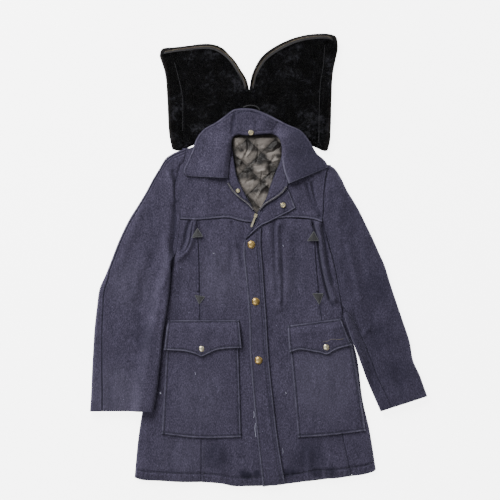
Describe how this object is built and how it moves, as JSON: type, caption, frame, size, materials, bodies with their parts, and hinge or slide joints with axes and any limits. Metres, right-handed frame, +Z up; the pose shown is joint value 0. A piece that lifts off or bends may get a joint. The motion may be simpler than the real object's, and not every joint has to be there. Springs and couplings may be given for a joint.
{
  "type": "hooded wool coat (duffel coat)",
  "caption": "Hooded wool coat laid flat face up, split pile-lined hood open above the collar, zip and snap fly, quilted lining, patch pockets.",
  "frame": {"origin": "centre of the coat's outline on the surface it lies on", "axes": "+Y from the hem to the hood, +X towards the wearer's left, +Z up from the surface"},
  "size_m": [0.842, 1.1266, 0.0356],
  "materials": {
    "wool": "matte",
    "lining": "satin",
    "pile": "matte",
    "cord": "matte",
    "thread": "satin",
    "brass": "polished",
    "pale_metal": "polished",
    "zip_metal": "satin",
    "hood_zip": "satin"
  },
  "bodies": {
    "coat": {"back": "wool", "back_lining": "lining", "front_side_right": "wool", "front_centre_right": "wool", "front_centre_left": "wool", "front_side_left": "wool", "yoke_right": "wool", "yoke_left": "wool", "placket": "wool", "fly_lapel": "wool", "facing_right": "wool", "zip_right": "zip_metal", "facing_left": "wool", "zip_left": "zip_metal", "pocket_right": "wool", "flap_right": "wool", "pocket_left": "wool", "flap_left": "wool", "welt_right": "wool", "welt_left": "wool", "sleeve_right_top": "wool", "sleeve_right_under": "wool", "sleeve_left_top": "wool", "sleeve_left_under": "wool", "collar": "wool", "collar_stand": "wool", "hanger_loop": "cord", "hood_shell_right": "wool", "hood_lining_right": "pile", "hood_zip_right": "hood_zip", "hood_shell_left": "wool", "hood_lining_left": "pile", "hood_zip_left": "hood_zip", "snap_cap_top": "brass", "snap_cap_middle": "brass", "snap_cap_low": "brass", "snap_flap_right": "brass", "snap_flap_left": "brass", "snap_socket_lapel": "brass", "snap_stud_facing": "pale_metal", "snap_neck": "pale_metal", "arrowhead_right_high": "thread", "arrowhead_right_low": "thread", "arrowhead_left_high": "thread", "arrowhead_left_low": "thread", "zip_slider": "pale_metal"},
    "zip_pull": {"zip_pull": "pale_metal"}
  },
  "joints": [
    {"name": "zip_pull_swing", "type": "hinge", "parent": "coat", "child": "zip_pull", "pos_m": [-0.00853, 0.11018, 0.0211], "axis": [-0.9351, 0.3545, 0], "range_deg": [0, 150]}
  ]
}
